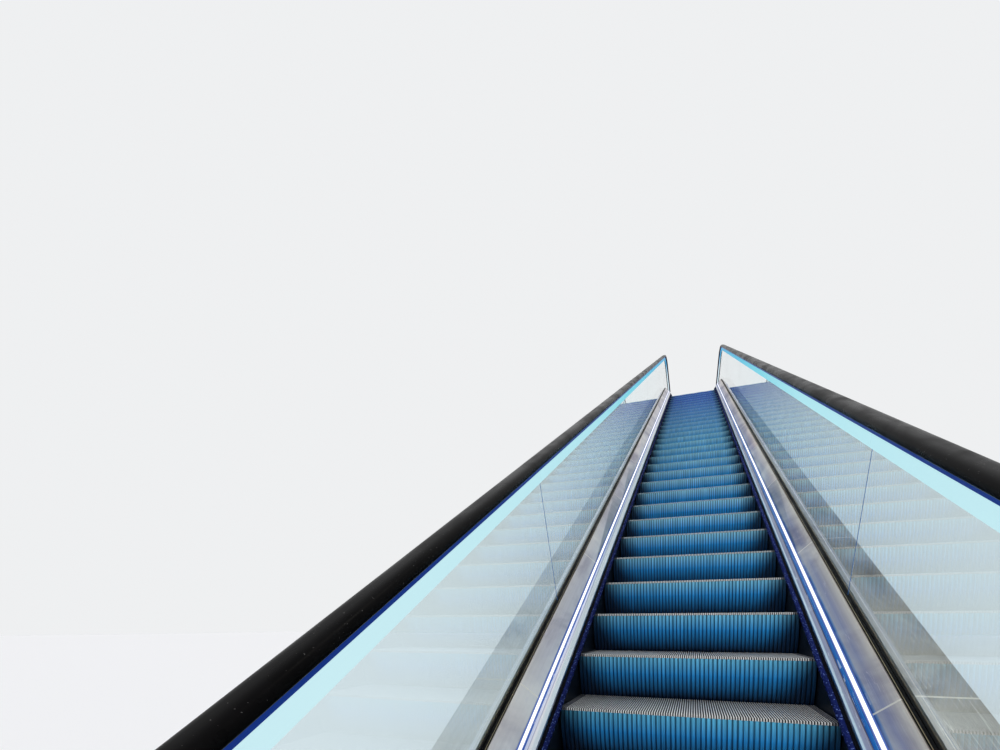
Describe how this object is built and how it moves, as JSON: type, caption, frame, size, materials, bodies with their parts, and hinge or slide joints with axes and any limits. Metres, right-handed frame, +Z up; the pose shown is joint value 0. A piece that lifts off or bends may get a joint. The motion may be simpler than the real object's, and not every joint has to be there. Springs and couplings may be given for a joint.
{
  "type": "escalator",
  "caption": "Thirty-degree indoor escalator with cleated blue-fronted steps, glass balustrades, lit skirt and handrail lines, comb plates and clad body.",
  "frame": {"origin": "centre of the underside of the lower bearing flange, where the body rests on the lower support", "axes": "+Y level, in the direction of travel from the lower to the upper landing; +X to the right of a rider going up; +Z up"},
  "size_m": [1.6, 17.7082, 8.7944],
  "materials": {
    "painted_steel": "matt dark grey",
    "track_steel": "bare rolled",
    "carriage_metal": "cast",
    "tread_metal": "cleated, satin",
    "riser_paint": "deep blue, satin metallic",
    "edge_strip": "dark grey, cleated",
    "comb_metal": "cast, satin",
    "cover_steel": "ribbed, brushed",
    "skirt_coat": "low-friction black",
    "brush_fibre": "dark blue bristle",
    "trim_metal": "anodised",
    "light_diffuser": "luminous white",
    "rail_light": "luminous pale cyan",
    "deck_steel": "long-grain brushed",
    "gasket_rubber": "black",
    "support_steel": "galvanised",
    "clear_glass": "clear toughened",
    "guide_metal": "dark blue anodised",
    "belt_rubber": "glossy black",
    "cladding_paint": "warm white, satin"
  },
  "bodies": {
    "root": {"body_lower": "painted_steel", "body_slope": "painted_steel", "body_upper": "painted_steel", "track_supports": "support_steel", "step_tracks": "track_steel", "step_carriages": "carriage_metal", "treads_lower": "tread_metal", "treads_slope": "tread_metal", "treads_upper": "tread_metal", "risers_lower": "riser_paint", "risers_slope": "riser_paint", "risers_upper": "riser_paint", "step_edge_strips": "edge_strip", "comb_teeth_lower": "comb_metal", "comb_teeth_upper": "comb_metal", "comb_plate_lower": "cover_steel", "comb_plate_upper": "cover_steel", "landing_cover_lower": "cover_steel", "landing_cover_upper": "cover_steel", "skirt_left": "skirt_coat", "skirt_right": "skirt_coat", "skirt_brushes": "brush_fibre", "skirt_trims": "trim_metal", "skirt_lights": "light_diffuser", "inner_deck_left": "deck_steel", "inner_deck_right": "deck_steel", "outer_deck_left": "deck_steel", "outer_deck_right": "deck_steel", "glass_channels": "gasket_rubber", "glass_supports": "support_steel", "glass_left": "clear_glass", "glass_right": "clear_glass", "handrail_lights": "rail_light", "handrail_guides": "guide_metal", "handrail_left": "belt_rubber", "handrail_right": "belt_rubber", "handrail_inlets": "gasket_rubber", "base_front_plates": "deck_steel", "cladding_left": "cladding_paint", "cladding_right": "cladding_paint", "soffit": "cladding_paint", "bearing_lower": "painted_steel", "bearing_upper": "painted_steel"}
  },
  "joints": []
}
